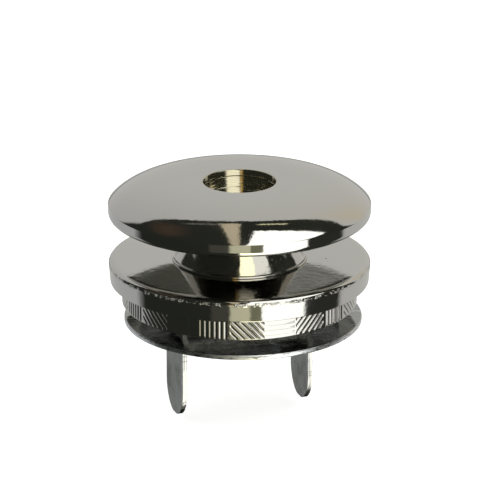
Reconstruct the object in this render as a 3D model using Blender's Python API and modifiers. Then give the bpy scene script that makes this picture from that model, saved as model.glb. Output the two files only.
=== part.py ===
# Magnetic snap for a bag: a riveted flap half sitting on a magnet half with two bend-over prongs.
# Metres, +Z up. The snap's axis is Z, and z = 0 is the seat of the magnet half, the plane that lies
# on the bag. The prongs point down, one on each side of the axis along X.

from math import asin, ceil, cos, pi, radians, sin, tan

import bmesh
import bpy
from mathutils import Vector

MM = 0.001
COLLECTION_NAME = "magnetic_snap"

SNAP_RADIUS = 9.0 * MM            # of the domed cap and of the skirted disc
POST_RADIUS = 2.5 * MM            # every hole round the post and in the neck follows from it

# Fits
REST_GAP = 0.02 * MM              # between faces that rest on each other
RADIAL_FIT = 0.05 * MM            # round a piece that sits in another
POST_FIT = 0.1 * MM               # round the post in the case's hole
SKIRT_CLEARANCE = 0.55 * MM       # between the disc's skirt and the case

# Prong strip, one folded piece
PRONG_SPREAD = 9.2 * MM           # between the middles of the two prongs
PRONG_WIDTH = 3.45 * MM
PRONG_SHEET = 0.32 * MM
PRONG_REACH = 7.7 * MM            # from the seat down to the tips
PRONG_POINT = 2.1 * MM            # length of the rounded point
PRONG_TIP_FLAT = 0.8 * MM
PRONG_FOLD_RADIUS = 0.45 * MM     # of the sheet's middle at each fold

# Knurled case
CASE_SHEET = 0.3 * MM
CASE_SHOULDER = 0.4 * MM
CASE_CRIMP_ROUND = 0.12 * MM
CASE_CRIMP_WIDTH = 1.2 * MM       # how far the crimped lip reaches under the back plate

# What the case holds
BACK_PLATE_THICKNESS = 0.4 * MM
MAGNET_THICKNESS = 1.1 * MM
MAGNET_HOLE_SETBACK = 0.25 * MM   # from the edge of the case's hole
MAGNET_SIDE_GAP = 0.2 * MM
MAGNET_CHAMFER = 0.12 * MM
RIVET_SHANK_RADIUS = 1.25 * MM
RIVET_HEAD_SETBACK = 0.3 * MM     # from the edge of the case's hole
RIVET_CHAMFER = 0.15 * MM

# Knurl on the case's wall: groups of milled lines that change direction from group to group
KNURL_GROUPS = 22
KNURL_PITCH = 0.34 * MM
KNURL_DEPTH = 0.09 * MM
KNURL_MARGIN = 0.08 * MM          # plain strip round each group
KNURL_BOTTOM = 0.05 * MM          # above the case's lower edge
KNURL_TOP = 0.16 * MM             # below the case's rounded shoulder
KNURL_START = radians(-114.55)
SLANT = radians(45)
UPRIGHT = radians(90)
KNURL_ORDER = (-SLANT, 0, SLANT, UPRIGHT, -SLANT, 0, SLANT, UPRIGHT, -SLANT, 0, UPRIGHT)

# Backing washer, loose on the prongs
WASHER_OVERHANG = 0.1 * MM        # beyond the case's wall
WASHER_THICKNESS = 0.36 * MM
WASHER_HOLE_RADIUS = 2.6 * MM
WASHER_EDGE_ROUND = 0.1 * MM
WASHER_DROP = 1.02 * MM           # from the seat down to the washer
WASHER_SHIFT_X = 0.23 * MM
WASHER_SHIFT_Y = -0.08 * MM
SLOT_CLEARANCE = 0.35 * MM        # round each prong

# Skirted disc of the flap half
DISC_SHEET = 0.35 * MM
DISC_SIDE = 1.24 * MM             # height of its side
DISC_SIDE_TAPER = 0.1 * MM        # the skirt's lower edge is this much smaller in radius
DISC_EDGE_ROUND = 0.08 * MM
DISC_CROWN_RISE = 0.29 * MM       # from its upper edge to the seat of the neck
DISC_CROWN_FULLNESS = 14          # 1 is a straight cone, more puts the rise near the edge
DISC_OVERHANG = 0.59 * MM         # how far the skirt hangs below the case's face
SEAT_MARGIN = 0.2 * MM            # flat of the disc beyond the neck's lip

# Striker plate and post under the disc
STRIKER_SIDE_GAP = 0.2 * MM
STRIKER_CHAMFER = 0.15 * MM
POST_CHAMFER = 0.25 * MM
POST_DROP = 0.55 * MM             # below the striker plate
POST_SHOULDER = 0.15 * MM         # from the post's side in to its shank
POST_SHANK_LENGTH = 1.3 * MM      # inside the neck's bore

# Neck
NECK_LIP_RADIUS = 4.65 * MM
NECK_LIP_THICKNESS = 0.14 * MM
NECK_LIP_ROUND = 0.06 * MM
NECK_LIP_WIDTH = 0.17 * MM        # from the lip's edge in to the neck's foot
NECK_WALL = 0.8 * MM              # where it goes down through the disc and the striker plate
NECK_LEDGE = 0.05 * MM            # from the bore out to the wider mouth
NECK_MOUTH_DEPTH = 0.75 * MM
NECK_RIM = 0.05 * MM              # shows inside the cap's hole
NECK_REACH = 0.25 * MM            # under the cap, past the edge of its hole

# Domed cap
GROOVE = 3.05 * MM                # from the disc to the cap's lower edge, for the flap
CAP_BAND = 0.9 * MM
CAP_RISE = 1.53 * MM              # from the band up to the rim of the hole
CAP_SHEET = 0.45 * MM
CAP_FLATNESS = 5.4                # exponents of the dome's curve
CAP_SHOULDER = 1.11
CAP_CREASE_ROUND = 0.1 * MM
CAP_HEM_ROUND = 0.37 * MM
CAP_HEM_WIDTH = 1.1 * MM          # how far the folded hem reaches under the cap's plate
CAP_PLATE_THICKNESS = 0.3 * MM    # at its edge, over the hem
CAP_PLATE_TAPER = 0.5 * MM        # the plate's upper edge is this much smaller, to clear the dome

# Smoothness
CASE_STEPS = 3 * KNURL_GROUPS
FINE_STEPS = 60
PLAIN_STEPS = 40
ARC_STEPS = 2
DOME_STEPS = 7
CROWN_STEPS = 5
TIP_STEPS = 8
FOLD_STEPS = 4
MERGE = 0.000001

# Heights that follow from the sizes above
plate_bottom = PRONG_SHEET + REST_GAP
case_bottom = plate_bottom - REST_GAP - CASE_SHEET
magnet_bottom = plate_bottom + BACK_PLATE_THICKNESS + REST_GAP
magnet_top = magnet_bottom + MAGNET_THICKNESS
case_top = magnet_top + REST_GAP + CASE_SHEET
striker_bottom = case_top + REST_GAP
post_bottom = striker_bottom - POST_DROP
disc_bottom = case_top - DISC_OVERHANG
disc_edge = disc_bottom + DISC_SIDE
neck_seat = disc_edge + DISC_CROWN_RISE
cap_bottom = neck_seat + GROOVE
cap_crease = cap_bottom + CAP_BAND
cap_top = cap_crease + CAP_RISE

# Radii that follow
case_radius = SNAP_RADIUS - DISC_SHEET - SKIRT_CLEARANCE
case_inside = case_radius - CASE_SHEET
case_hole_radius = POST_RADIUS + POST_FIT
cap_inside = SNAP_RADIUS - CAP_SHEET
shank_radius = POST_RADIUS - POST_SHOULDER
bore_radius = shank_radius + RADIAL_FIT
mouth_radius = bore_radius + NECK_LEDGE
cap_hole_radius = mouth_radius + NECK_RIM
neck_top_radius = cap_hole_radius + NECK_REACH
spigot_radius = bore_radius + NECK_WALL
spigot_hole = spigot_radius + RADIAL_FIT
seat_radius = NECK_LIP_RADIUS + SEAT_MARGIN
disc_inside = SNAP_RADIUS - DISC_SIDE_TAPER - DISC_SHEET


def start_scene():
    for thing in list(bpy.data.objects):
        bpy.data.objects.remove(thing, do_unlink=True)
    for name in (COLLECTION_NAME, "cutters"):
        bpy.context.scene.collection.children.link(bpy.data.collections.new(name))


def metal(name, colour, roughness):
    material = bpy.data.materials.new(name)
    material.use_nodes = True
    shader = material.node_tree.nodes["Principled BSDF"]
    shader.inputs["Base Color"].default_value = (*colour, 1)
    shader.inputs["Roughness"].default_value = roughness
    shader.inputs["Metallic"].default_value = 1
    return material


def add_object(name, mesh, material=None, parent=None):
    thing = bpy.data.objects.new(name, mesh)
    bpy.data.collections[COLLECTION_NAME if material else "cutters"].objects.link(thing)
    if material:
        mesh.materials.append(material)
        thing.parent = parent
    else:
        thing.hide_render = True
        thing.display_type = "WIRE"
    return thing


def cut(thing, cutter):
    boolean = thing.modifiers.new("Cut " + cutter.name, "BOOLEAN")
    boolean.operation = "DIFFERENCE"
    boolean.solver = "EXACT"
    boolean.object = cutter


# Puts an arc in a corner of a profile. The arc shrinks where the sides are too short for it.
def corner_arc(before, corner, after, radius):
    back, ahead = before - corner, after - corner
    half = back.angle(ahead) / 2
    reach = min(radius / tan(half), back.length / 2, ahead.length / 2)
    centre = corner + (back.normalized() + ahead.normalized()).normalized() * reach / cos(half)
    start = corner + back.normalized() * reach - centre
    end = corner + ahead.normalized() * reach - centre
    arc = [start.normalized().slerp(end.normalized(), step / ARC_STEPS) for step in range(ARC_STEPS + 1)]
    return [centre + spoke * start.length for spoke in arc]


# A profile is a list of (radius from the axis, height, corner radius). It runs down its outer side.
def profile_points(corners, closed):
    places = [Vector(corner[:2]) for corner in corners]
    rounds = [corner[2] if len(corner) > 2 else 0 for corner in corners]
    points = []
    for i, (place, radius) in enumerate(zip(places, rounds)):
        inner = closed or 0 < i < len(places) - 1
        if radius and inner:
            points += corner_arc(places[i - 1], place, places[(i + 1) % len(places)], radius)
        else:
            points.append(place)
    return points


def turned(name, corners, material, parent, steps, closed):
    shape = bmesh.new()
    verts = [shape.verts.new((point.x, 0, point.y)) for point in profile_points(corners, closed)]
    for first, second in zip(verts, verts[1:]):
        shape.edges.new((first, second))
    if closed:
        shape.edges.new((verts[-1], verts[0]))
    mesh = bpy.data.meshes.new(name)
    shape.to_mesh(mesh)
    shape.free()
    thing = add_object(name, mesh, material, parent)
    screw = thing.modifiers.new("Turn", "SCREW")
    screw.angle = 2 * pi
    screw.steps = screw.render_steps = steps
    screw.use_merge_vertices = True
    screw.merge_threshold = MERGE
    screw.use_smooth_shade = True
    return thing


# A ring's profile is a closed loop, and a solid round piece's profile runs from axis to axis.
def turned_ring(name, corners, material, parent, steps=PLAIN_STEPS):
    return turned(name, corners, material, parent, steps, closed=True)


def turned_solid(name, corners, material, parent, steps=PLAIN_STEPS):
    return turned(name, corners, material, parent, steps, closed=False)


def plain_ring(name, inner, outer, bottom, top, material, parent, steps=PLAIN_STEPS, chamfer=0):
    corners = [(inner + chamfer, top), (outer - chamfer, top), (outer, top - chamfer),
               (outer, bottom + chamfer), (outer - chamfer, bottom), (inner + chamfer, bottom),
               (inner, bottom + chamfer), (inner, top - chamfer)]
    if not chamfer:
        corners = [corners[1], corners[3], corners[5], corners[7]]
    return turned_ring(name, corners, material, parent, steps)


def round_cutter(name, radius, bottom, top, steps=PLAIN_STEPS):
    bpy.ops.mesh.primitive_cylinder_add(
        vertices=steps, radius=radius, depth=top - bottom, location=(0, 0, (bottom + top) / 2))
    return as_cutter(name)


def box_cutter(name, size, location):
    bpy.ops.mesh.primitive_cube_add(size=1, location=location)
    bpy.context.object.scale = size
    return as_cutter(name)


def as_cutter(name):
    cutter = bpy.context.object
    for collection in list(cutter.users_collection):
        collection.objects.unlink(cutter)
    bpy.data.collections["cutters"].objects.link(cutter)
    cutter.name = name
    cutter.hide_render = True
    cutter.display_type = "WIRE"
    return cutter


# The flat pattern of the strip is worked out as stations from one tip to the middle, each with the
# place of the folded sheet's middle and half of the strip's width there.
def prong_stations():
    leg = PRONG_SPREAD / 2
    middle = PRONG_SHEET / 2
    half_width = PRONG_WIDTH / 2
    blunt = asin(PRONG_TIP_FLAT / PRONG_WIDTH)
    stations = []
    for step in range(TIP_STEPS + 1):
        angle = blunt + (pi / 2 - blunt) * step / TIP_STEPS
        height = PRONG_POINT * (cos(blunt) - cos(angle)) / cos(blunt) - PRONG_REACH
        stations.append((leg, height, half_width * sin(angle)))
    fold_x, fold_z = leg - PRONG_FOLD_RADIUS, middle - PRONG_FOLD_RADIUS
    for step in range(FOLD_STEPS + 1):
        angle = pi / 2 * step / FOLD_STEPS
        x = fold_x + PRONG_FOLD_RADIUS * cos(angle)
        z = fold_z + PRONG_FOLD_RADIUS * sin(angle)
        stations.append((x, z, half_width))
    return stations


def make_prong_strip(material, parent):
    right = prong_stations()
    left = [(-x, z, half) for x, z, half in reversed(right)]
    shape = bmesh.new()
    edges = []
    for x, z, half in right + left:
        ends = [shape.verts.new((x, side * half, z)) for side in (-1, 1)]
        edges.append(shape.edges.new(ends))
    for first, second in zip(edges, edges[1:]):
        bmesh.ops.bridge_loops(shape, edges=[first, second])
    bmesh.ops.recalc_face_normals(shape, faces=shape.faces)
    mesh = bpy.data.meshes.new("prong_strip")
    shape.to_mesh(mesh)
    shape.free()
    strip = add_object("prong_strip", mesh, material, parent)
    solidify = strip.modifiers.new("Sheet", "SOLIDIFY")
    solidify.thickness = PRONG_SHEET
    solidify.offset = 0
    solidify.use_even_offset = True
    through = 2 * PRONG_SHEET
    cut(strip, round_cutter("rivet_hole", RIVET_SHANK_RADIUS + RADIAL_FIT, -through, through))
    return strip


# One group's milled lines, as (start, end) pairs on the unrolled wall, clipped to the group.
def hatch_lines(width, height, angle):
    along = Vector((cos(angle), sin(angle)))
    across = Vector((-sin(angle), cos(angle)))
    span = abs(across.x) * width / 2 + abs(across.y) * height / 2
    count = ceil(2 * span / KNURL_PITCH) - 1
    lines = []
    for line in range(count):
        offset = (line - (count - 1) / 2) * KNURL_PITCH
        low, high = -width, width
        for axis, limit in ((0, width / 2), (1, height / 2)):
            if abs(along[axis]) > MERGE:
                ends = sorted((side * limit - across[axis] * offset) / along[axis] for side in (-1, 1))
                low, high = max(low, ends[0]), min(high, ends[1])
        if high - low > KNURL_PITCH / 2:
            lines.append((across * offset + along * low, across * offset + along * high))
    return lines


def make_knurl_cutter():
    curve = bpy.data.curves.new("knurl", "CURVE")
    curve.dimensions = "3D"
    curve.bevel_depth = KNURL_DEPTH
    curve.bevel_resolution = 0
    curve.use_fill_caps = True
    group_angle = 2 * pi / KNURL_GROUPS
    width = group_angle * case_radius - 2 * KNURL_MARGIN
    bottom = case_bottom + KNURL_BOTTOM
    top = case_top - CASE_SHOULDER - KNURL_TOP
    height = top - bottom - 2 * KNURL_MARGIN
    middle = (bottom + top) / 2
    for group in range(KNURL_GROUPS):
        centre = KNURL_START + (group + 0.5) * group_angle
        for start, end in hatch_lines(width, height, KNURL_ORDER[group % len(KNURL_ORDER)]):
            steps = max(1, ceil(abs(end.x - start.x) / (width / 3)))
            spline = curve.splines.new("POLY")
            spline.points.add(steps)
            for step in range(steps + 1):
                place = start.lerp(end, step / steps)
                turn = centre + place.x / case_radius
                spline.points[step].co = (
                    case_radius * cos(turn), case_radius * sin(turn), middle + place.y, 1)
    guide = bpy.data.objects.new("knurl_lines", curve)
    bpy.context.scene.collection.objects.link(guide)
    evaluated = guide.evaluated_get(bpy.context.evaluated_depsgraph_get())
    mesh = bpy.data.meshes.new_from_object(evaluated)
    bpy.data.objects.remove(guide)
    shape = bmesh.new()
    shape.from_mesh(mesh)
    bmesh.ops.remove_doubles(shape, verts=shape.verts, dist=MERGE)
    bmesh.ops.recalc_face_normals(shape, faces=shape.faces)
    shape.to_mesh(mesh)
    shape.free()
    return add_object("knurl_cutter", mesh)


def make_case(material, parent):
    lip = case_radius - CASE_CRIMP_WIDTH
    case = turned_ring("knurled_case", [
        (case_hole_radius, case_top), (case_radius, case_top, CASE_SHOULDER),
        (case_radius, case_bottom, CASE_CRIMP_ROUND), (lip, case_bottom), (lip, case_bottom + CASE_SHEET),
        (case_inside, case_bottom + CASE_SHEET), (case_inside, case_top - CASE_SHEET),
        (case_hole_radius, case_top - CASE_SHEET)], material, parent, CASE_STEPS)
    cut(case, make_knurl_cutter())


def make_magnet_half(nickel, steel, magnet, parent):
    make_case(nickel, parent)
    make_prong_strip(steel, parent)
    plain_ring("back_plate", RIVET_SHANK_RADIUS + RADIAL_FIT, case_inside - RADIAL_FIT, plate_bottom,
               plate_bottom + BACK_PLATE_THICKNESS, steel, parent)
    plain_ring("ring_magnet", case_hole_radius + MAGNET_HOLE_SETBACK, case_inside - MAGNET_SIDE_GAP,
               magnet_bottom, magnet_top, magnet, parent, chamfer=MAGNET_CHAMFER)
    rivet_top = post_bottom - REST_GAP
    head_radius = case_hole_radius - RIVET_HEAD_SETBACK
    turned_solid("centre_rivet", [
        (0, rivet_top), (head_radius - RIVET_CHAMFER, rivet_top),
        (head_radius, rivet_top - RIVET_CHAMFER), (head_radius, magnet_bottom),
        (RIVET_SHANK_RADIUS, magnet_bottom), (RIVET_SHANK_RADIUS, 0), (0, 0)], steel, parent)


def make_washer(material):
    top = 0
    bottom = -WASHER_THICKNESS
    edge = WASHER_EDGE_ROUND
    radius = case_radius + WASHER_OVERHANG
    washer = turned_ring("backing_washer", [
        (radius, top, edge), (radius, bottom, edge), (WASHER_HOLE_RADIUS, bottom),
        (WASHER_HOLE_RADIUS, top)], material, None, FINE_STEPS)
    washer.location = (WASHER_SHIFT_X, WASHER_SHIFT_Y, -WASHER_DROP)
    size = (PRONG_SHEET + 2 * SLOT_CLEARANCE, PRONG_WIDTH + 2 * SLOT_CLEARANCE, 2 * WASHER_THICKNESS)
    for name, side in (("slot_left", -1), ("slot_right", 1)):
        x = side * PRONG_SPREAD / 2 + WASHER_SHIFT_X
        z = -WASHER_DROP - WASHER_THICKNESS / 2
        cut(washer, box_cutter(name, size, (x, WASHER_SHIFT_Y, z)))


# The disc's crown from its upper edge in to the neck's seat, with more points where it rises.
def crown_points():
    points = []
    for step in range(1, CROWN_STEPS + 1):
        share = (step / CROWN_STEPS) ** 2
        radius = SNAP_RADIUS - (SNAP_RADIUS - seat_radius) * share
        points.append((radius, disc_edge + DISC_CROWN_RISE * (1 - (1 - share) ** DISC_CROWN_FULLNESS)))
    return points


def make_disc(material, parent):
    lower_edge = SNAP_RADIUS - DISC_SIDE_TAPER
    corners = [(spigot_hole, neck_seat)] + crown_points()[::-1] + [
        (SNAP_RADIUS, disc_edge, DISC_EDGE_ROUND), (lower_edge, disc_bottom), (disc_inside, disc_bottom),
        (disc_inside, neck_seat - DISC_SHEET), (spigot_hole, neck_seat - DISC_SHEET)]
    turned_ring("disc_cover", corners, material, parent, FINE_STEPS)


def make_striker(material, parent):
    top = neck_seat - DISC_SHEET - REST_GAP
    edge = disc_inside - STRIKER_SIDE_GAP
    turned_ring("striker_plate", [
        (edge - STRIKER_CHAMFER, top), (edge, top - STRIKER_CHAMFER), (edge, striker_bottom),
        (spigot_hole, striker_bottom), (spigot_hole, top)], material, parent)


def make_post(material, parent):
    top = striker_bottom - REST_GAP
    turned_solid("post", [
        (0, top + POST_SHANK_LENGTH), (shank_radius, top + POST_SHANK_LENGTH), (shank_radius, top),
        (POST_RADIUS, top), (POST_RADIUS, post_bottom + POST_CHAMFER),
        (POST_RADIUS - POST_CHAMFER, post_bottom), (0, post_bottom)], material, parent)


def make_neck(material, parent):
    foot = neck_seat + REST_GAP
    lip = foot + NECK_LIP_THICKNESS
    top = cap_top - CAP_SHEET - REST_GAP
    mouth = top - NECK_MOUTH_DEPTH
    turned_ring("neck", [
        (neck_top_radius, top), (neck_top_radius, cap_bottom), (NECK_LIP_RADIUS - NECK_LIP_WIDTH, lip),
        (NECK_LIP_RADIUS, lip, NECK_LIP_ROUND), (NECK_LIP_RADIUS, foot),
        (spigot_radius, foot), (spigot_radius, striker_bottom),
        (bore_radius, striker_bottom), (bore_radius, mouth), (mouth_radius, mouth),
        (mouth_radius, top)], material, parent)


# The dome from the hole's edge to the crease: level round the hole, falling ever faster outwards.
def dome_points(reach, top):
    def fall(radius):
        return (1 - (radius / reach) ** CAP_FLATNESS) ** (1 / CAP_SHOULDER)
    points = []
    for step in range(DOME_STEPS):
        radius = cap_hole_radius + (reach - cap_hole_radius) * sin(pi / 2 * step / DOME_STEPS)
        points.append((radius, cap_crease + (top - cap_crease) * fall(radius) / fall(cap_hole_radius)))
    return points


def make_cap(material, parent):
    lip = SNAP_RADIUS - CAP_HEM_WIDTH
    corners = dome_points(SNAP_RADIUS, cap_top) + [
        (SNAP_RADIUS, cap_crease, CAP_CREASE_ROUND), (SNAP_RADIUS, cap_bottom, CAP_HEM_ROUND),
        (lip, cap_bottom), (lip, cap_bottom + CAP_SHEET), (cap_inside, cap_bottom + CAP_SHEET),
        (cap_inside, cap_crease)] + dome_points(cap_inside, cap_top - CAP_SHEET)[::-1]
    turned_ring("cap_shell", corners, material, parent, FINE_STEPS)


# The plate's edge is rebated for the hem, and its face is level with the hem.
def make_cap_plate(material, parent):
    rebate = cap_bottom + CAP_SHEET + REST_GAP
    top = rebate + CAP_PLATE_THICKNESS
    hole = neck_top_radius + RADIAL_FIT
    edge = cap_inside - RADIAL_FIT
    face = SNAP_RADIUS - CAP_HEM_WIDTH - RADIAL_FIT
    turned_ring("cap_plate", [
        (edge - CAP_PLATE_TAPER, top), (edge, rebate), (face, rebate), (face, cap_bottom),
        (hole, cap_bottom), (hole, top)], material, parent)


def make_flap_half(nickel, steel, parent):
    make_disc(nickel, parent)
    make_striker(steel, parent)
    make_post(steel, parent)
    make_neck(nickel, parent)
    make_cap(nickel, parent)
    make_cap_plate(steel, parent)


def half(name):
    empty = bpy.data.objects.new(name, None)
    bpy.data.collections[COLLECTION_NAME].objects.link(empty)
    return empty


start_scene()
bright_nickel = metal("bright_nickel", (0.66, 0.65, 0.62), 0.08)
dull_nickel = metal("dull_nickel", (0.5, 0.51, 0.51), 0.32)
magnet_grey = metal("magnet_grey", (0.16, 0.16, 0.17), 0.45)
make_magnet_half(bright_nickel, dull_nickel, magnet_grey, half("magnet_half"))
make_washer(bright_nickel)
make_flap_half(bright_nickel, dull_nickel, half("flap_half"))
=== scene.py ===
from math import ceil, cos, pi, radians, sin

import bmesh
import bpy
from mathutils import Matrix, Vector


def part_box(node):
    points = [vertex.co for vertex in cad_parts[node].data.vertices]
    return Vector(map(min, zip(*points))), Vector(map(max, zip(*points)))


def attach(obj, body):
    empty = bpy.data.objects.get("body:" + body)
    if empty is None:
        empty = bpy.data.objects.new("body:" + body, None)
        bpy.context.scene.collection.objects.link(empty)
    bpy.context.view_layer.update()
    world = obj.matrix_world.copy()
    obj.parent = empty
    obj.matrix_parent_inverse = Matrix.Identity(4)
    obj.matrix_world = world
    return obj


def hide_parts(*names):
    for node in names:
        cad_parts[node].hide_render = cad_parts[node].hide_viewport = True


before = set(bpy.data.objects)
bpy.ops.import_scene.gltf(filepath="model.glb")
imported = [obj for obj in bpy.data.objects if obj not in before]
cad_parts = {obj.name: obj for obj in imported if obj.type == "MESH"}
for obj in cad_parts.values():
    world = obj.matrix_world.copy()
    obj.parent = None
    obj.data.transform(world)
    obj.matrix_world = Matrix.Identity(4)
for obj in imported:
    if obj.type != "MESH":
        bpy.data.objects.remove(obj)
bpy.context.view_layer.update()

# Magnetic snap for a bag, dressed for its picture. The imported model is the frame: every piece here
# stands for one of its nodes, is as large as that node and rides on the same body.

mm = 0.001
tiny = 1e-7  # metres, for points that are one point
white = (1, 1, 1, 1)

view = {
    "azimuth": -20, "elevation": 19.4,  # degrees
    "distance": 275, "target": 3.6,     # mm
    "lens": 289, "sensor": 36, "shift": 0.02,
    "clip": (0.01, 20),                 # metres
}


def addNode(tree, kind, values=None, **settings):
    node = tree.nodes.new(kind)
    for name, value in settings.items():
        setattr(node, name, value)
    for name, value in (values or {}).items():
        socket = node.inputs[name]
        if isinstance(value, bpy.types.NodeSocket):
            tree.links.new(value, socket)
        else:
            socket.default_value = value
    return node


def maths(tree, operation, first, second=0.0, third=0.0):
    return addNode(tree, "ShaderNodeMath", {0: first, 1: second, 2: third}, operation=operation).outputs[0]


def mixColours(tree, factor, first, second, blend="MIX"):
    return addNode(tree, "ShaderNodeMix", {0: factor, 6: first, 7: second},
                   data_type="RGBA", blend_type=blend).outputs[2]


def ramp(tree, value, low, high):
    return addNode(tree, "ShaderNodeMapRange", {"Value": value, "From Min": low, "From Max": high},
                   interpolation_type="SMOOTHSTEP").outputs["Result"]


# 1 between low and high, 0 outside them, with both ends softened.
def between(tree, value, low, high, soft):
    rise = ramp(tree, value, low - soft, low + soft)
    fall = ramp(tree, value, high + soft, high - soft)
    return maths(tree, "MULTIPLY", rise, fall)


def rgba(colour):
    return (*colour, 1)


# The floor's own light, seen by the camera alone, makes it as white as the photo's ground.
floor = {"size": 3000, "height": -8.3, "colour": (0.8, 0.8, 0.8), "roughness": 0.9, "own light": 0.72}
lamps = [
    {"name": "keyLamp", "azimuth": 35, "elevation": 55, "distance": 500, "size": 420, "watts": 0.85},
    {"name": "fillLamp", "azimuth": -100, "elevation": 40, "distance": 600, "size": 500, "watts": 0.35},
]
# What the metal mirrors, dark where no card lies. A card's plane is "around" (degrees round the snap from
# the camera, and up from level), "back" (a wall behind the snap, across and up) or "overhead" (a ceiling,
# across and away from the camera), the last two in units of the plane's distance. A later card covers an
# earlier one.
room = {
    "dark": (0.026, 0.028, 0.022),
    "soft light": (0.62, 0.62, 0.62),  # what lights the floor, and isn't mirrored
    "shade": {"across": (-0.9, 0.4), "colour": (0.84, 0.86, 0.9)},  # cooler and darker on the left
    "horizon": (0.02, 0.04),           # where the flat planes fade out
    "behind": 90,                      # degrees, past which a card is measured from 0 to 360
    "cards": {
        "table": {"plane": "around", "across": (101, 259), "up": (-38, -4), "soft": (7, 9),
                  "colour": (0.56, 0.56, 0.54)},
        "wall": {"plane": "back", "across": (-1.4, 1.8), "up": (-0.05, 1.44), "soft": (0.16, 0.035),
                 "colour": (0.61, 0.6, 0.57)},
        "shadow right": {"plane": "around", "across": (176, 180), "up": (-60, -12), "soft": (0.4, 3),
                         "colour": (0.4, 0.4, 0.38)},
        "shadow left": {"plane": "around", "across": (180, 184), "up": (-60, -12), "soft": (0.4, 3),
                        "colour": (0.11, 0.115, 0.095)},
        "gap": {"plane": "around", "across": (174, 186), "up": (-60, -20.5), "soft": (0.4, 0.12),
                "colour": (0.03, 0.03, 0.026)},
        "wall glow": {"plane": "back", "across": (0.55, 1.2), "up": (0.3, 1.2), "soft": (0.35, 0.3),
                      "colour": (0.63, 0.58, 0.48)},
        "shelf": {"plane": "around", "across": (-135, -92), "up": (48, 64), "soft": (14, 7),
                  "colour": (0.066, 0.046, 0.031)},
        "lamp row left": {"plane": "overhead", "across": (-0.32, -0.09), "up": (0.485, 0.53),
                          "soft": (0.06, 0.02), "colour": (0.2, 0.19, 0.16)},
        "lamp row right": {"plane": "overhead", "across": (0.1, 0.27), "up": (0.485, 0.53),
                           "soft": (0.02, 0.012), "colour": (0.85, 0.8, 0.5)},
        "window": {"plane": "overhead", "across": (0.1, 0.97), "up": (-40, 0.21), "soft": (0.01, 0.02),
                   "colour": (1.7, 1.7, 1.65)},
        "window foot": {"plane": "around", "across": (20, 62), "up": (-72, 6), "soft": (1.5, 4),
                        "colour": (1.7, 1.7, 1.65)},
        "window side": {"plane": "around", "across": (-1, 44), "up": (8, 45), "soft": (5, 4),
                        "colour": (1.5, 1.48, 1.34)},
        "warm edge": {"plane": "around", "across": (-10, -3), "up": (12, 40), "soft": (3, 4),
                      "colour": (0.75, 0.5, 0.16)},
        "window sill": {"plane": "around", "across": (1, 30), "up": (-72, -33), "soft": (1.2, 1),
                        "colour": (3, 2.85, 2)},
        "window corner": {"plane": "around", "across": (62, 101), "up": (-58, 4), "soft": (2, 3),
                          "colour": (0.03, 0.032, 0.026)},
        "curtain": {"plane": "overhead", "across": (-0.1, 0.0), "up": (-0.9, 0.56), "soft": (0.012, 0.02),
                    "colour": (0.62, 0.54, 0.38)},
        "door": {"plane": "around", "across": (-9, 10), "up": (-32, -10), "soft": (1.2, 1.5),
                 "colour": (0.66, 0.64, 0.45)},
        "door frame": {"plane": "around", "across": (10, 20), "up": (-32, -10), "soft": (1.2, 1.5),
                       "colour": (0.2, 0.2, 0.13)},
        "cupboard": {"plane": "around", "across": (-26, -9), "up": (-32, -14), "soft": (2, 3),
                     "colour": (0.07, 0.068, 0.055)},
    },
}


def direction(azimuth, elevation):
    turn, tilt = radians(azimuth), radians(elevation)
    return Vector((sin(turn) * cos(tilt), -cos(turn) * cos(tilt), sin(tilt)))


def makeCamera():
    away = direction(view["azimuth"], view["elevation"])
    data = bpy.data.cameras.new("photoCamera")
    data.lens, data.sensor_width, data.sensor_fit = view["lens"], view["sensor"], "HORIZONTAL"
    data.shift_x = view["shift"]
    data.clip_start, data.clip_end = view["clip"]
    camera = bpy.data.objects.new("photoCamera", data)
    camera.location = Vector((0, 0, view["target"] * mm)) + away * view["distance"] * mm
    camera.rotation_euler = away.to_track_quat("Z", "Y").to_euler()
    bpy.context.scene.collection.objects.link(camera)
    bpy.context.scene.camera = camera


def makeLamps():
    for lamp in lamps:
        away = direction(view["azimuth"] + lamp["azimuth"], lamp["elevation"])
        data = bpy.data.lights.new(lamp["name"], "AREA")
        data.shape, data.size, data.energy = "DISK", lamp["size"] * mm, lamp["watts"]
        thing = bpy.data.objects.new(lamp["name"], data)
        thing.location = away * lamp["distance"] * mm
        thing.rotation_euler = away.to_track_quat("Z", "Y").to_euler()
        thing.visible_glossy = False  # the metal mirrors the room's own window
        bpy.context.scene.collection.objects.link(thing)


def makeFloor():
    shape = bmesh.new()
    bmesh.ops.create_grid(shape, x_segments=1, y_segments=1, size=floor["size"] / 2 * mm)
    bmesh.ops.translate(shape, verts=shape.verts, vec=(0, 0, floor["height"] * mm))
    mesh = bpy.data.meshes.new("floor")
    shape.to_mesh(mesh)
    shape.free()
    material = bpy.data.materials.new("paleFloor")
    material.use_nodes = True
    tree = material.node_tree
    paper = tree.nodes["Principled BSDF"]
    paper.inputs["Base Color"].default_value = rgba(floor["colour"])
    paper.inputs["Roughness"].default_value = floor["roughness"]
    paper.inputs["Emission Color"].default_value = white
    seen = addNode(tree, "ShaderNodeLightPath").outputs["Is Camera Ray"]
    tree.links.new(maths(tree, "MULTIPLY", seen, floor["own light"]), paper.inputs["Emission Strength"])
    mesh.materials.append(material)
    thing = bpy.data.objects.new("floor", mesh)
    thing.visible_glossy = False  # the metal mirrors the room's table instead
    bpy.context.scene.collection.objects.link(thing)


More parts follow.
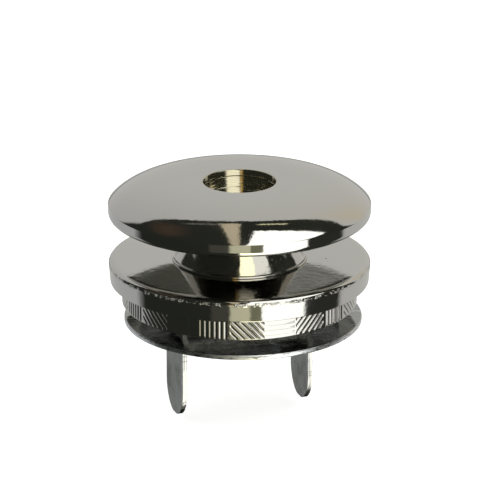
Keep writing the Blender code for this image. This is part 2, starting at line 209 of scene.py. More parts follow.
def makeRoom():
    world = bpy.data.worlds.new("studio")
    world.use_nodes = True
    bpy.context.scene.world = world
    tree = world.node_tree
    background = tree.nodes["Background"]
    looking = addNode(tree, "ShaderNodeTexCoord").outputs["Generated"]
    straight = addNode(tree, "ShaderNodeMapping", {
        "Vector": looking, "Rotation": (0, 0, -radians(view["azimuth"]))}).outputs[0]
    parts = addNode(tree, "ShaderNodeSeparateXYZ", {0: straight})
    right, back, up = parts.outputs
    front = maths(tree, "MULTIPLY", back, -1)
    azimuth = maths(tree, "DEGREES", maths(tree, "ARCTAN2", right, front))
    fullTurn = maths(tree, "FLOORED_MODULO", azimuth, 360)
    elevation = maths(tree, "DEGREES", maths(tree, "ARCSINE", up))
    nearest, clear = room["horizon"]
    planes = {}
    for name, away, second in (("back", back, up), ("overhead", up, back)):
        distance = maths(tree, "MAXIMUM", away, nearest)
        planes[name] = (maths(tree, "DIVIDE", right, distance), maths(tree, "DIVIDE", second, distance),
                        ramp(tree, away, nearest, clear))
    colour = rgba(room["dark"])
    for card in room["cards"].values():
        side = fullTurn if card["across"][0] > room["behind"] else azimuth
        across, above, ahead = planes.get(card["plane"], (side, elevation, 1.0))
        mask = maths(tree, "MULTIPLY", between(tree, across, *card["across"], card["soft"][0]),
                     between(tree, above, *card["up"], card["soft"][1]))
        colour = mixColours(tree, maths(tree, "MULTIPLY", mask, ahead), colour, rgba(card["colour"]))
    lit = ramp(tree, right, *room["shade"]["across"])
    shade = mixColours(tree, lit, rgba(room["shade"]["colour"]), white)
    colour = mixColours(tree, 1.0, colour, shade, blend="MULTIPLY")
    path = addNode(tree, "ShaderNodeLightPath")
    colour = mixColours(tree, path.outputs["Is Glossy Ray"], rgba(room["soft light"]), colour)
    colour = mixColours(tree, path.outputs["Is Camera Ray"], colour, white)
    tree.links.new(colour, background.inputs["Color"])


def newGroup(name, inputs, outputs):
    group = bpy.data.node_groups.new(name, "ShaderNodeTree")
    for label, kind, value in inputs:
        socket = group.interface.new_socket(label, in_out="INPUT", socket_type=kind)
        socket.default_value = value
    for label, kind in outputs:
        group.interface.new_socket(label, in_out="OUTPUT", socket_type=kind)
    return group, group.nodes.new("NodeGroupInput").outputs, group.nodes.new("NodeGroupOutput").inputs


def millimetres(tree, turn=(0, 0, 0), stretch=(1, 1, 1)):
    place = addNode(tree, "ShaderNodeTexCoord").outputs["Object"]
    scale = [1000 * amount for amount in stretch]
    return addNode(tree, "ShaderNodeMapping", {
        "Vector": place, "Rotation": turn, "Scale": scale}).outputs[0]


def noise(tree, scale=1.0, detail=1.0, roughness=0.5, turn=(0, 0, 0), stretch=(1, 1, 1)):
    return addNode(tree, "ShaderNodeTexNoise", {
        "Vector": millimetres(tree, turn, stretch), "Scale": scale, "Detail": detail,
        "Roughness": roughness}).outputs["Fac"]


# In the looks below a texture's scale is per mm, and a pair of numbers is where a ramp starts and ends.
marking = {
    "smudges": {"scale": 0.32, "detail": 5.0, "roughness": 0.62}, "smudged": (0.42, 0.72),
    "scratches": [{"turn": (0.3, 0.1, 0.5), "stretch": (0.35, 16, 12)},
                  {"turn": (0.2, 0.5, 2.1), "stretch": (0.5, 22, 14)},
                  {"turn": (1.2, 0.2, 1.2), "stretch": (0.4, 14, 20)}],
    "scratched": (0.7, 0.8), "scratch rougher": 0.16, "scratch depth": 0.25,
    "speck cells": 0.55, "speck rarity": (0.8, 0.82), "speck size": (0.045, 0.02),
    "speck colour": (0.03, 0.03, 0.026), "speck rougher": 0.4,
    "even tarnish": 0.7, "smudged tarnish": 0.3,
    "grain": {"scale": 2.2, "detail": 3.0}, "grain height": 0.6,
}


# Handling marks on plated metal: hazy smudges, hairline scratches and the odd dark speck. The colour is
# also darkened towards a second, darker colour: light tarnish on most pieces, and painted shade on the
# washer and the dull pieces in the gap under the case, where the darkening is strong.
def makeHandlingAndShadeGroup():
    number, colour = "NodeSocketFloat", "NodeSocketColor"
    group, given, result = newGroup("handlingMarksAndShade", [
        ("Colour", colour, (0.7, 0.7, 0.7, 1)), ("Stain_and_shade", colour, (0.3, 0.28, 0.24, 1)),
        ("Roughness", number, 0.1), ("Haze", number, 0.06), ("Scratches", number, 0.5),
        ("Specks", number, 0.5), ("Tarnish_and_shade", number, 0.06),
    ], [("Colour", colour), ("Roughness", number), ("Height", number)])
    haze = ramp(group, noise(group, **marking["smudges"]), *marking["smudged"])
    lines = 0.0
    for way in marking["scratches"]:
        line = ramp(group, noise(group, **way), *marking["scratched"])
        lines = maths(group, "MAXIMUM", lines, line)
    lines = maths(group, "MULTIPLY", lines, given["Scratches"])
    cells = addNode(group, "ShaderNodeTexVoronoi", {
        "Vector": millimetres(group), "Scale": marking["speck cells"]})
    chance = addNode(group, "ShaderNodeSeparateColor", {0: cells.outputs["Color"]}).outputs[0]
    specks = maths(group, "MULTIPLY", ramp(group, chance, *marking["speck rarity"]),
                   ramp(group, cells.outputs["Distance"], *marking["speck size"]))
    specks = maths(group, "MULTIPLY", specks, given["Specks"])
    # Darkening towards the second colour: tarnish, and painted shade where a finish asks for much of it.
    tarnish_and_shade = maths(group, "MULTIPLY_ADD", haze, marking["smudged tarnish"], marking["even tarnish"])
    tarnish_and_shade = maths(group, "MULTIPLY", tarnish_and_shade, given["Tarnish_and_shade"])
    darkened = mixColours(group, tarnish_and_shade, given["Colour"], given["Stain_and_shade"])
    group.links.new(mixColours(group, specks, darkened, rgba(marking["speck colour"])), result["Colour"])
    rough = maths(group, "MULTIPLY_ADD", haze, given["Haze"], given["Roughness"])
    rough = maths(group, "MULTIPLY_ADD", lines, marking["scratch rougher"], rough)
    rough = maths(group, "MULTIPLY_ADD", specks, marking["speck rougher"], rough)
    group.links.new(rough, result["Roughness"])
    height = maths(group, "MULTIPLY_ADD", noise(group, **marking["grain"]), marking["grain height"],
                   maths(group, "MULTIPLY", lines, -marking["scratch depth"]))
    group.links.new(maths(group, "SUBTRACT", height, specks), result["Height"])
    return group


rubbing = {"flat": 0.51, "patches": {"scale": 1.6, "detail": 4.0, "roughness": 0.7}, "rubbed": (0.35, 0.62),
           "rougher": 0.1, "dent band": (0.9, 1), "dented": (0.5, 0.56), "dents": {"scale": 5.0}}


# Mask: plating rubbed thin along edges that stand out. Height: dents where points are marked as worn.
def makeEdgeGroup():
    number = "NodeSocketFloat"
    group, given, result = newGroup("rubbedEdges", [("Amount", number, 0.5), ("Reach", number, 0.06)],
                                    [("Mask", number), ("Height", number)])
    pointed = addNode(group, "ShaderNodeNewGeometry").outputs["Pointiness"]
    pointed = ramp(group, pointed, rubbing["flat"], maths(group, "ADD", rubbing["flat"], given["Reach"]))
    patches = noise(group, **rubbing["patches"])
    rubbed = maths(group, "MULTIPLY", pointed, ramp(group, patches, *rubbing["rubbed"]))
    worn = addNode(group, "ShaderNodeAttribute", attribute_name="worn").outputs["Fac"]
    dented = maths(group, "MULTIPLY", ramp(group, worn, *rubbing["dent band"]),
                   ramp(group, patches, *rubbing["dented"]))
    group.links.new(maths(group, "MULTIPLY", rubbed, given["Amount"]), result["Mask"])
    group.links.new(maths(group, "MULTIPLY", dented, noise(group, **rubbing["dents"])), result["Height"])
    return group


# The holes in the cap and the neck, in mm: fine rings from turning, and plating thin enough to look warm.
bore = {"reach": 2.56, "pitch": 0.12, "depth": 0.055, "uneven": 0.35, "rougher": 0.03,
        "waves": {"detail": 2.0, "stretch": (0.3, 0.3, 9)}, "warmth": 0.8, "colour": (0.59, 0.54, 0.38)}


# Fine stepped rings from turning, inside a hole whose radius is Reach. Mask is 1 there.
def makeRingGroup():
    number = "NodeSocketFloat"
    group, given, result = newGroup("turnedRings", [
        ("Reach", number, bore["reach"]), ("Pitch", number, bore["pitch"]),
    ], [("Mask", number), ("Height", number)])
    x, y, z = addNode(group, "ShaderNodeSeparateXYZ", {0: millimetres(group)}).outputs
    far = maths(group, "SQRT", maths(group, "MULTIPLY_ADD", x, x, maths(group, "MULTIPLY", y, y)))
    mask = maths(group, "LESS_THAN", far, given["Reach"])
    step = maths(group, "FRACT", maths(group, "DIVIDE", z, given["Pitch"]))
    waves = maths(group, "MULTIPLY", noise(group, **bore["waves"]), bore["uneven"])
    group.links.new(mask, result["Mask"])
    group.links.new(maths(group, "MULTIPLY", maths(group, "SUBTRACT", waves, step), mask), result["Height"])
    return group


handlingMarksAndShade = makeHandlingAndShadeGroup()
rubbedEdges = makeEdgeGroup()
turnedRings = makeRingGroup()
# Depths of bumps and dents are in mm. "cut" is for a sheet's sheared edges: the axis of the normal that
# finds them (0 to 2) with its ramp, and their own colour and grain.
finishes = {
    "bright_nickel": {
        "colour": (0.66, 0.65, 0.62), "stain_and_shade": (0.4, 0.38, 0.33), "edge": (0.72, 0.71, 0.69),
        "roughness": 0.05, "haze": 0.05, "scratches": 0.15, "specks": 1.0, "tarnish_and_shade": 0.05,
        "bump": 0.007, "dents": 0.045, "edge wear": 0.4, "turned hole": True},
    "neck_nickel": {
        "colour": (0.66, 0.65, 0.62), "stain_and_shade": (0.4, 0.38, 0.33), "edge": (0.72, 0.71, 0.69),
        "roughness": 0.06, "haze": 0.05, "scratches": 0.5, "specks": 0.6, "tarnish_and_shade": 0.05,
        "bump": 0.015, "dents": 0.04, "edge wear": 0.5, "turned hole": True},
    "knurled_nickel": {
        "colour": (0.64, 0.63, 0.6), "stain_and_shade": (0.3, 0.28, 0.24), "edge": (0.74, 0.73, 0.7),
        "roughness": 0.09, "haze": 0.08, "scratches": 0.5, "specks": 0.6, "tarnish_and_shade": 0.08,
        "bump": 0.015, "dents": 0.012, "edge wear": 0.6, "milled": True},
    # The washer's strong darkening is painted shade: the dark gap under the case, which its face mirrors.
    "washer_nickel": {
        "colour": (0.6, 0.6, 0.58), "stain_and_shade": (0.16, 0.17, 0.165), "edge": (0.66, 0.68, 0.7),
        "roughness": 0.06, "haze": 0.1, "scratches": 0.6, "specks": 0.6, "tarnish_and_shade": 0.62,
        "bump": 0.02, "dents": 0.04, "edge wear": 0.9,
        "cut": {"axis": 2, "found": (0.9, 0.6), "colour": (0.84, 0.86, 0.88), "rougher": 0.45,
                "grain": (2, 2, 9)}},
    "prong_steel": {
        "colour": (0.5, 0.51, 0.51), "stain_and_shade": (0.127, 0.132, 0.116), "edge": (0.62, 0.63, 0.64),
        "roughness": 0.2, "haze": 0.12, "scratches": 1.0, "specks": 0.8, "tarnish_and_shade": 1.08,
        "bump": 0.05, "dents": 0.03, "edge wear": 0.6,
        "cut": {"axis": 1, "found": (0.6, 0.9), "colour": (0.66, 0.65, 0.6), "rougher": -0.05,
                "grain": (11, 1, 0.5)}},
    # The dull pieces' strong darkening is painted shade: the dark gap between the case and the washer,
    # where they sit.
    "dull_nickel": {
        "colour": (0.5, 0.51, 0.51), "stain_and_shade": (0.14, 0.14, 0.135), "edge": (0.6, 0.61, 0.61),
        "roughness": 0.07, "haze": 0.1, "scratches": 0.9, "specks": 0.7, "tarnish_and_shade": 0.75,
        "bump": 0.04, "dents": 0.03, "edge wear": 0.5},
    "magnet": {
        "colour": (0.16, 0.16, 0.17), "stain_and_shade": (0.08, 0.08, 0.08), "edge": (0.3, 0.3, 0.3),
        "roughness": 0.42, "haze": 0.12, "scratches": 0.8, "specks": 0.8, "tarnish_and_shade": 0.2,
        "bump": 0.05, "dents": 0.03, "edge wear": 0.5},
}
grooveDarkening = {"depth": (0.35, 1), "amount": 0.75, "rougher": 0.25}  # darker in the bottom of the milled lines
shearing = {"bare": (0.32, 0.48), "detail": 3.0}


def bumped(tree, height, depth, normal=(0, 0, 0)):
    return addNode(tree, "ShaderNodeBump", {
        "Height": height, "Normal": normal, "Distance": depth * mm}).outputs[0]


def makeMaterial(name, finish):
    material = bpy.data.materials.new(name)
    material.use_nodes = True
    tree = material.node_tree
    metal = tree.nodes["Principled BSDF"]
    metal.inputs["Metallic"].default_value = 1
    marks = addNode(tree, "ShaderNodeGroup", node_tree=handlingMarksAndShade)
    for label in ("Colour", "Stain_and_shade"):
        marks.inputs[label].default_value = rgba(finish[label.lower()])
    for label in ("Roughness", "Haze", "Scratches", "Specks", "Tarnish_and_shade"):
        marks.inputs[label].default_value = finish[label.lower()]
    wear = addNode(tree, "ShaderNodeGroup", {"Amount": finish["edge wear"]}, node_tree=rubbedEdges)
    colour = mixColours(tree, wear.outputs["Mask"], marks.outputs["Colour"], rgba(finish["edge"]))
    rough = marks.outputs["Roughness"]
    rough = maths(tree, "MULTIPLY_ADD", wear.outputs["Mask"], rubbing["rougher"], rough)
    normal = bumped(tree, wear.outputs["Height"], finish["dents"])
    normal = bumped(tree, marks.outputs["Height"], finish["bump"], normal)
    if "milled" in finish:
        # The bottom of each milled line is coloured darker, and made rougher.
        depth = addNode(tree, "ShaderNodeAttribute", attribute_name="groove").outputs["Fac"]
        grooveDark = maths(tree, "MULTIPLY", ramp(tree, depth, *grooveDarkening["depth"]), grooveDarkening["amount"])
        colour = mixColours(tree, grooveDark, colour, rgba(finish["stain_and_shade"]))
        rough = maths(tree, "MULTIPLY_ADD", grooveDark, grooveDarkening["rougher"], rough)
    if "turned hole" in finish:
        rings = addNode(tree, "ShaderNodeGroup", {"Reach": bore["reach"], "Pitch": bore["pitch"]},
                        node_tree=turnedRings)
        warmth = maths(tree, "MULTIPLY", rings.outputs["Mask"], bore["warmth"])
        colour = mixColours(tree, warmth, colour, rgba(bore["colour"]))
        rough = maths(tree, "MULTIPLY_ADD", rings.outputs["Mask"], bore["rougher"], rough)
        normal = bumped(tree, rings.outputs["Height"], bore["depth"], normal)
    if "cut" in finish:
        cut = finish["cut"]
        facing = addNode(tree, "ShaderNodeTexCoord").outputs["Normal"]
        facing = addNode(tree, "ShaderNodeSeparateXYZ", {0: facing}).outputs[cut["axis"]]
        sheared = ramp(tree, maths(tree, "ABSOLUTE", facing), *cut["found"])
        grain = noise(tree, detail=shearing["detail"], stretch=cut["grain"])
        bare = maths(tree, "MULTIPLY", sheared, ramp(tree, grain, *shearing["bare"]))
        colour = mixColours(tree, bare, colour, rgba(cut["colour"]))
        rough = maths(tree, "MULTIPLY_ADD", maths(tree, "MULTIPLY", sheared, grain), cut["rougher"], rough)
    tree.links.new(colour, metal.inputs["Base Color"])
    tree.links.new(rough, metal.inputs["Roughness"])
    tree.links.new(normal, metal.inputs["Normal"])
    return material


def finishPiece(shape, name, node, body, slotName, materials):
    bmesh.ops.remove_doubles(shape, verts=shape.verts, dist=tiny)
    bmesh.ops.recalc_face_normals(shape, faces=shape.faces)
    for face in shape.faces:
        face.smooth = True
    mesh = bpy.data.meshes.new(name)
    shape.to_mesh(mesh)
    shape.free()
    mesh.materials.append(materials[slotName])
    piece = bpy.data.objects.new(name, mesh)
    bpy.context.scene.collection.objects.link(piece)
    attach(piece, body)
    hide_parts(node)
    return piece


turned = {"steps": 192, "corner steps": 5, "small round": 0.02, "most round": 0.48,
          "hold": 0.02, "most hold": 0.49, "smooth": radians(14)}


# A profile is a list of (radius, height, corner radius) in mm. Every real corner is rounded and gets
# a holding point on each side, so that the flats between the corners stay flat in the shading. "most"
# is the largest share of a side that they take.
def holdCorners(corners, closed):
    points = []
    for i, corner in enumerate(corners):
        here = Vector(corner[:2])
        ends = [Vector(corners[(i + step) % len(corners)][:2]) - here for step in (-1, 1)]
        inner = closed or 0 < i < len(corners) - 1
        if not inner or (len(corner) == 2 and ends[0].angle(-ends[1]) < turned["smooth"]):
            points.append(here)
            continue
        half = ends[0].angle(ends[1]) / 2
        wanted = (corner[2] if len(corner) > 2 else turned["small round"]) * cos(half) / sin(half)
        reach = min(wanted, *(end.length * turned["most round"] for end in ends))
        holds = [min(reach + turned["hold"], end.length * turned["most hold"]) for end in ends]
        before, after = (here + end.normalized() * hold for end, hold in zip(ends, holds))
        points += [before, (here, reach), after]
    return points


def roundOff(shape, geom, size, segments, affect="EDGES"):
    bmesh.ops.bevel(shape, geom=geom, offset=size * mm, offset_type="OFFSET", segments=segments,
                    profile=0.5, affect=affect, material=-1)


def spinProfile(corners, closed, steps=turned["steps"], cornerSteps=turned["corner steps"]):
    shape = bmesh.new()
    points = holdCorners(corners, closed)
    places = [point[0] if isinstance(point, tuple) else point for point in points]
    verts = [shape.verts.new((place.x * mm, 0, place.y * mm)) for place in places]
    for first, second in zip(verts, verts[1:]):
        shape.edges.new((first, second))
    if closed:
        shape.edges.new((verts[-1], verts[0]))
    for vert, point in zip(verts, points):
        if isinstance(point, tuple):
            roundOff(shape, [vert], point[1], cornerSteps, "VERTICES")
    bmesh.ops.spin(shape, geom=shape.verts[:] + shape.edges[:], cent=(0, 0, 0), axis=(0, 0, 1),
                   dvec=(0, 0, 0), angle=2 * pi, steps=steps, use_merge=True, use_duplicate=False)
    return shape


# Marks the points between two heights and beyond a radius, in mm, for the dents of handling.
def markWorn(shape, low, high, beyond):
    layer = shape.verts.layers.float.new("worn")
    for vert in shape.verts:
        if low * mm < vert.co.z < high * mm and vert.co.xy.length > beyond * mm:
            vert[layer] = 1


def heights(node):
    low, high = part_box(node)
    return low.z / mm, high.z / mm


def radius(node):
    low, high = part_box(node)
    return (high.y - low.y) / 2 / mm


cap = {"sheet": 0.45, "band": 0.9, "hole": 2.5, "hole edge": 0.05, "flatness": 5.4, "shoulder": 1.11,
       "crease": 0.1, "hem": 0.37, "hem width": 1.1, "edge": 0.04, "points": 40}


# The dome's height from the crease, as a share of the height at the hole's rim.
def domeHeight(share, holeShare):
    def fall(amount):
        return max(1 - amount ** cap["flatness"], 0) ** (1 / cap["shoulder"])
    return fall(share) / fall(holeShare)


def makeCap(materials):
    bottom, top = heights("cap_shell")
    outer = radius("cap_shell")
    crease = bottom + cap["band"]
    inner, hole = outer - cap["sheet"], cap["hole"]
    hemEnd, hemTop = outer - cap["hem width"], bottom + cap["sheet"]

    def dome(reach, base, rise):
        points = []
        for step in range(cap["points"]):
            at = hole + (reach - hole) * sin(pi / 2 * step / cap["points"])
            points.append((at, base + rise * domeHeight(at / reach, hole / reach)))
        return points
    outside = dome(outer, crease, top - crease)
    inside = dome(inner, crease, top - cap["sheet"] - crease)
    corners = [(*outside[0], cap["hole edge"])] + outside[1:]
    corners += [(outer, crease, cap["crease"]), (outer, bottom, cap["hem"]), (hemEnd, bottom, cap["edge"]),
                (hemEnd, hemTop, cap["edge"]), (inner, hemTop), (inner, crease)]
    corners += inside[:0:-1] + [(*inside[0], cap["edge"])]
    shape = spinProfile(corners, closed=True)
    finishPiece(shape, "domedCap", "cap_shell", "flap_half", "bright_nickel", materials)


capPlate = {"hole": 2.8, "face": 7.85, "rebate": 0.47, "taper": 0.5, "edge": 0.03}


def makeCapPlate(materials):
    bottom, top = heights("cap_plate")
    outer, edge = radius("cap_plate"), capPlate["edge"]
    step = bottom + capPlate["rebate"]
    shape = spinProfile([
        (outer - capPlate["taper"], top, edge), (outer, step, edge), (capPlate["face"], step, edge),
        (capPlate["face"], bottom, edge), (capPlate["hole"], bottom, edge), (capPlate["hole"], top),
    ], closed=True)
    finishPiece(shape, "capPlate", "cap_plate", "flap_half", "bright_nickel", materials)


neck = {"lip": 0.14, "lip width": 0.17, "lip round": 0.06, "lip corner": 0.04, "foot gap": 0.02,
        "top radius": 2.75, "bore": 2.4, "mouth": 2.45, "mouth depth": 0.75, "wall": 0.8, "edge": 0.02}


def makeNeck(materials):
    bottom, top = heights("neck")
    outer, edge = radius("neck"), neck["edge"]
    foot = heights("disc_cover")[1] + neck["foot gap"]
    lip = foot + neck["lip"]
    under = heights("cap_shell")[0]
    mouth = top - neck["mouth depth"]
    spigot = neck["bore"] + neck["wall"]
    shape = spinProfile([
        (neck["top radius"], top, edge), (neck["top radius"], under),
        (outer - neck["lip width"], lip, neck["lip corner"]), (outer, lip, neck["lip round"]),
        (outer, foot, edge), (spigot, foot), (spigot, bottom, edge), (neck["bore"], bottom, edge),
        (neck["bore"], mouth, edge), (neck["mouth"], mouth), (neck["mouth"], top, edge),
    ], closed=True)
    finishPiece(shape, "neck", "neck", "flap_half", "neck_nickel", materials)


disc = {"sheet": 0.35, "side": 1.24, "taper": 0.1, "edge round": 0.08, "seat": 4.85, "fullness": 30,
        "hole": 3.25, "skirt edge": 0.06, "inner edge": 0.05, "points": 24, "worn": 0.14}


def makeDisc(materials):
    bottom, top = heights("disc_cover")
    outer = radius("disc_cover")
    brim = bottom + disc["side"]
    inner = outer - disc["taper"] - disc["sheet"]
    crown = []
    for step in range(1, disc["points"] + 1):
        share = (step / disc["points"]) ** 2
        rise = 1 - (1 - share) ** disc["fullness"]
        crown.append((outer - (outer - disc["seat"]) * share, brim + (top - brim) * rise))
    shape = spinProfile([(disc["hole"], top)] + crown[::-1] + [
        (outer, brim, disc["edge round"]), (outer - disc["taper"], bottom, disc["skirt edge"]),
        (inner, bottom, disc["skirt edge"]), (inner, top - disc["sheet"], disc["inner edge"]),
        (disc["hole"], top - disc["sheet"]),
    ], closed=True)
    markWorn(shape, brim - disc["worn"], brim + disc["worn"], outer - 2 * disc["worn"])
    finishPiece(shape, "skirtedDisc", "disc_cover", "flap_half", "bright_nickel", materials)


striker = {"chamfer": 0.15, "edge": 0.04, "hole": 3.25}


def makeStriker(materials):
    bottom, top = heights("striker_plate")
    outer, chamfer, edge = radius("striker_plate"), striker["chamfer"], striker["edge"]
    shape = spinProfile([
        (outer - chamfer, top, edge), (outer, top - chamfer, edge), (outer, bottom, edge),
        (striker["hole"], bottom), (striker["hole"], top),
    ], closed=True)
    finishPiece(shape, "strikerPlate", "striker_plate", "flap_half", "dull_nickel", materials)


post = {"shoulder": 0.15, "collar gap": 0.02, "chamfer": 0.25, "edge": 0.05, "dimple": 0.6,
        "dimple depth": 0.12, "dimple round": 0.08}


def makePost(materials):
    bottom, top = heights("post")
    outer, edge = radius("post"), post["edge"]
    shank = outer - post["shoulder"]
    collar = heights("striker_plate")[0] - post["collar gap"]
    shape = spinProfile([
        (0, top - post["dimple depth"]), (post["dimple"], top, post["dimple round"]), (shank, top, edge),
        (shank, collar), (outer, collar, edge), (outer, bottom + post["chamfer"], edge),
        (outer - post["chamfer"], bottom, edge), (0, bottom),
    ], closed=False)
    finishPiece(shape, "post", "post", "flap_half", "dull_nickel", materials)


case = {"sheet": 0.3, "shoulder": 0.4, "hole": 2.6, "hole edge": 0.06, "crimp round": 0.12,
        "crimp width": 1.2, "edge": 0.04, "inner edge": 0.05, "inner round": 0.15, "corner steps": 3,
        "column steps": 50, "rows": 34, "row gap": 0.005, "skin": 0.01}
# Groups of milled lines. "order" is the slant of a group's lines in degrees, repeated round the case, and
# the level lines are cut shallower, by "level share".
knurl = {"groups": 22, "pitch": 0.34, "depth": 0.06, "level share": 0.5, "half width": 0.08,
         "margin": 0.08, "bottom": 0.05, "top": 0.16, "slack": 1e-6, "start": -114.55,
         "order": (-45, 0, 45, 90, -45, 0, 45, 90, -45, 0, 90)}


# How deep the milled lines are at a place on the unrolled wall, from 0 to 1.
def grooveShare(turn, height, width, tall):
    groupTurn = 2 * pi / knurl["groups"]
    turn = (turn - radians(knurl["start"])) % (2 * pi)
    group = int(turn / groupTurn) % knurl["groups"]
    along = (turn / groupTurn - group - 0.5) * (width + 2 * knurl["margin"])
    slant = radians(knurl["order"][group % len(knurl["order"])])
    span = abs(sin(slant)) * width / 2 + abs(cos(slant)) * tall / 2
    count = ceil(2 * span / knurl["pitch"] - knurl["slack"]) - 1
    across = height * cos(slant) - along * sin(slant)
    line = min(max(round(across / knurl["pitch"] + (count - 1) / 2), 0), count - 1)
    off = abs(across - (line - (count - 1) / 2) * knurl["pitch"])
    inside = min(width / 2 - abs(along), tall / 2 - abs(height)) / knurl["half width"] + 1
    level = knurl["level share"] if slant == 0 else 1
    return max(min(1 - off / knurl["half width"], inside, 1), 0) * level


def makeCase(materials):
    bottom, top = heights("knurled_case")
    outer = radius("knurled_case")
    inner = outer - case["sheet"]
    low, high = bottom + knurl["bottom"], top - case["shoulder"] - knurl["top"]
    lip = outer - case["crimp width"]
    start = bottom + case["crimp round"] + case["row gap"]
    rows = [(outer, high - (high - start) * row / case["rows"]) for row in range(case["rows"] + 1)]
    lowInside, highInside = bottom + case["sheet"], top - case["sheet"]
    corners = [(case["hole"], top, case["hole edge"]), (outer, top, case["shoulder"])] + rows
    corners += [(outer, bottom, case["crimp round"]), (lip, bottom, case["edge"]),
                (lip, lowInside, case["edge"]), (inner, lowInside, case["inner edge"]),
                (inner, highInside, case["inner round"]), (case["hole"], highInside, case["edge"])]
    shape = spinProfile(corners, closed=True, steps=knurl["groups"] * case["column steps"],
                        cornerSteps=case["corner steps"])
    bmesh.ops.remove_doubles(shape, verts=shape.verts, dist=tiny)
    layer = shape.verts.layers.float.new("groove")
    width = 2 * pi * outer / knurl["groups"] - 2 * knurl["margin"]
    tall = high - low - 2 * knurl["margin"]
    middle = (low + high) / 2
    for vert in shape.verts:
        height = vert.co.z / mm - middle
        if abs(height) < tall / 2 + knurl["margin"] and vert.co.xy.length > (outer - case["skin"]) * mm:
            share = grooveShare(vert.co.xy.angle_signed(Vector((1, 0))), height, width, tall)
            vert[layer] = share
            vert.co.xy *= 1 - knurl["depth"] * share / outer
    finishPiece(shape, "knurledCase", "knurled_case", "magnet_half", "knurled_nickel", materials)


magnet = {"hole": 2.85, "chamfer": 0.12, "edge": 0.03}


def makeMagnet(materials):
    bottom, top = heights("ring_magnet")
    outer, hole = radius("ring_magnet"), magnet["hole"]
    step, edge = magnet["chamfer"], magnet["edge"]
    shape = spinProfile([
        (hole + step, top, edge), (outer - step, top, edge), (outer, top - step, edge),
        (outer, bottom + step, edge), (outer - step, bottom, edge), (hole + step, bottom, edge),
        (hole, bottom + step, edge), (hole, top - step, edge),
    ], closed=True)
    finishPiece(shape, "ringMagnet", "ring_magnet", "magnet_half", "magnet", materials)


backPlate = {"hole": 1.3, "edge": 0.04}


def makeBackPlate(materials):
    bottom, top = heights("back_plate")
    outer, hole, edge = radius("back_plate"), backPlate["hole"], backPlate["edge"]
    shape = spinProfile([
        (hole, top, edge), (outer, top, edge), (outer, bottom, edge), (hole, bottom, edge),
    ], closed=True)
    finishPiece(shape, "backPlate", "back_plate", "magnet_half", "dull_nickel", materials)


rivet = {"shank": 1.25, "chamfer": 0.15, "edge": 0.05, "dimple": 0.9, "dimple depth": 0.12,
         "dimple round": 0.1}


def makeRivet(materials):
    bottom, top = heights("centre_rivet")
    head, shank, edge = radius("centre_rivet"), rivet["shank"], rivet["edge"]
    seat = heights("ring_magnet")[0]
    shape = spinProfile([
        (0, top - rivet["dimple depth"]), (rivet["dimple"], top, rivet["dimple round"]),
        (head - rivet["chamfer"], top, edge), (head, top - rivet["chamfer"], edge), (head, seat, edge),
        (shank, seat), (shank, bottom, edge), (0, bottom),
    ], closed=False)
    finishPiece(shape, "centreRivet", "centre_rivet", "magnet_half", "dull_nickel", materials)


prong = {"spread": 9.2, "width": 3.45, "sheet": 0.32, "point": 2.1, "tip flat": 0.8, "fold": 0.45,
         "hole": 1.3, "cells": 8, "tip steps": 20, "fold steps": 8, "edge": 0.05, "edge steps": 3,
         "sharp": radians(50)}


# From the fold at the web's end down to the tip: places of the sheet's middle, and the width there.
def prongStations(reach):
    leg, middle, half = prong["spread"] / 2, prong["sheet"] / 2, prong["width"] / 2
    stations = []
    for step in range(prong["fold steps"] + 1):
        angle = pi / 2 * (1 - step / prong["fold steps"])
        stations.append((leg - prong["fold"] + prong["fold"] * cos(angle),
                         middle - prong["fold"] + prong["fold"] * sin(angle), half))
    blunt = prong["tip flat"] / prong["width"]
    flat = (1 - blunt * blunt) ** 0.5
    for step in range(prong["tip steps"] + 1):
        drop = sin(pi / 2 * step / prong["tip steps"]) * flat
        stations.append((leg, -reach + prong["point"] * (1 - drop / flat), half * (1 - drop * drop) ** 0.5))
    return stations


def makeProngs(materials):
    reach = -heights("prong_strip")[0]
    half, middle = prong["width"] / 2, prong["sheet"] / 2
    shape = bmesh.new()
    bmesh.ops.create_grid(shape, x_segments=prong["cells"], y_segments=prong["cells"], size=half * mm)
    bmesh.ops.delete(shape, geom=shape.faces[:], context="FACES_ONLY")
    inner = [vert for vert in shape.verts if max(abs(vert.co.x), abs(vert.co.y)) < half * mm - tiny]
    bmesh.ops.delete(shape, geom=inner, context="VERTS")
    border = shape.edges[:]
    hole = bmesh.ops.create_circle(shape, segments=4 * prong["cells"], radius=prong["hole"] * mm)["verts"]
    rim = list({edge for vert in hole for edge in vert.link_edges})
    bmesh.ops.bridge_loops(shape, edges=border + rim)
    bmesh.ops.translate(shape, verts=shape.verts, vec=(0, 0, middle * mm))
    for side in (-1, 1):
        row = [edge for edge in shape.edges
               if all(abs(vert.co.x - side * half * mm) < tiny for vert in edge.verts)]
        for x, z, wide in prongStations(reach):
            made = bmesh.ops.extrude_edge_only(shape, edges=row)["geom"]
            for vert in [item for item in made if isinstance(item, bmesh.types.BMVert)]:
                vert.co = (side * x * mm, vert.co.y, z * mm)
            row = [item for item in made if isinstance(item, bmesh.types.BMEdge)]
            widest = max(abs(vert.co.y) for edge in row for vert in edge.verts)
            for vert in {vert for edge in row for vert in edge.verts}:
                vert.co.y *= wide * mm / widest
    piece = finishPiece(shape, "prongStrip", "prong_strip", "magnet_half", "prong_steel", materials)
    solidify = piece.modifiers.new("Sheet", "SOLIDIFY")
    solidify.thickness, solidify.offset, solidify.use_even_offset = prong["sheet"] * mm, 0, True
    soften = piece.modifiers.new("Soften", "BEVEL")
    soften.width, soften.segments = prong["edge"] * mm, prong["edge steps"]
    soften.limit_method, soften.angle_limit, soften.harden_normals = "ANGLE", prong["sharp"], True


washer = {"hole": 2.6, "hole steps": 64, "edge": 0.1, "edge steps": 4, "slot gap": 0.35,
          "hole edge": 0.04, "hole edge steps": 2, "corner": 0.3, "corner steps": 4, "rim": 0.05,
          "sharp": radians(60), "level": 0.999}


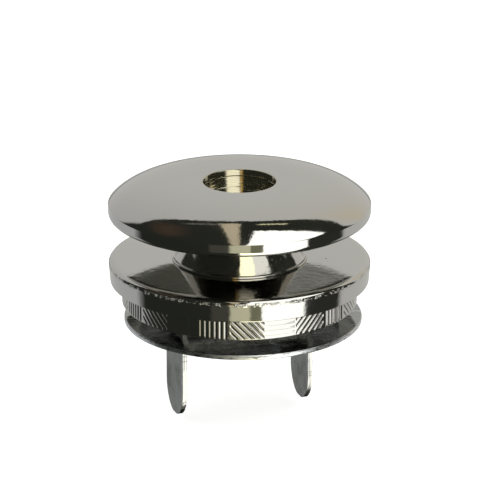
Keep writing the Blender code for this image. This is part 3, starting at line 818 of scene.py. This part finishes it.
def makeWasher(materials):
    low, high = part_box("backing_washer")
    middle = (low + high) / 2
    thick = (high.z - low.z) / mm
    outer = (high.x - low.x) / 2 / mm
    shape = bmesh.new()
    bmesh.ops.create_circle(shape, segments=turned["steps"], radius=outer * mm)
    bmesh.ops.create_circle(shape, segments=washer["hole steps"], radius=washer["hole"] * mm)
    wide, tall = prong["sheet"] + 2 * washer["slot gap"], prong["width"] + 2 * washer["slot gap"]
    for side in (-1, 1):
        at = side * prong["spread"] / 2
        corners = [shape.verts.new(((at + x * wide / 2) * mm, y * tall / 2 * mm, 0))
                   for x, y in ((-1, -1), (1, -1), (1, 1), (-1, 1))]
        for first, second in zip(corners, corners[1:] + corners[:1]):
            shape.edges.new((first, second))
        roundOff(shape, corners, washer["corner"], washer["corner steps"], "VERTICES")
    bmesh.ops.triangle_fill(shape, edges=shape.edges[:], use_beauty=True)
    made = bmesh.ops.extrude_face_region(shape, geom=shape.faces[:])["geom"]
    raised = [item for item in made if isinstance(item, bmesh.types.BMVert)]
    bmesh.ops.translate(shape, verts=raised, vec=(0, 0, thick * mm))
    bmesh.ops.recalc_face_normals(shape, faces=shape.faces)
    rim = [edge for edge in shape.edges if edge.calc_face_angle(0) > washer["sharp"]
           and edge.verts[0].co.xy.length > (outer - washer["rim"]) * mm]
    roundOff(shape, rim, washer["edge"], washer["edge steps"])
    holes = [edge for edge in shape.edges if edge.calc_face_angle(0) > washer["sharp"]]
    roundOff(shape, holes, washer["hole edge"], washer["hole edge steps"])
    bmesh.ops.translate(shape, verts=shape.verts, vec=(middle.x, middle.y, low.z))
    piece = finishPiece(shape, "backingWasher", "backing_washer", "washer", "washer_nickel", materials)
    for face in piece.data.polygons:
        face.use_smooth = abs(face.normal.z) < washer["level"]


bpy.context.scene.view_settings.view_transform = "Standard"
makeCamera()
makeLamps()
makeFloor()
makeRoom()
print("stage ready")
materials = {name: makeMaterial(name, finish) for name, finish in finishes.items()}
print("finishes ready:", len(materials))
makeCap(materials)
makeCapPlate(materials)
makeNeck(materials)
makeDisc(materials)
makeStriker(materials)
makePost(materials)
print("flap half ready")
makeCase(materials)
makeMagnet(materials)
makeBackPlate(materials)
makeRivet(materials)
makeProngs(materials)
print("magnet half ready")
makeWasher(materials)
print("washer ready")
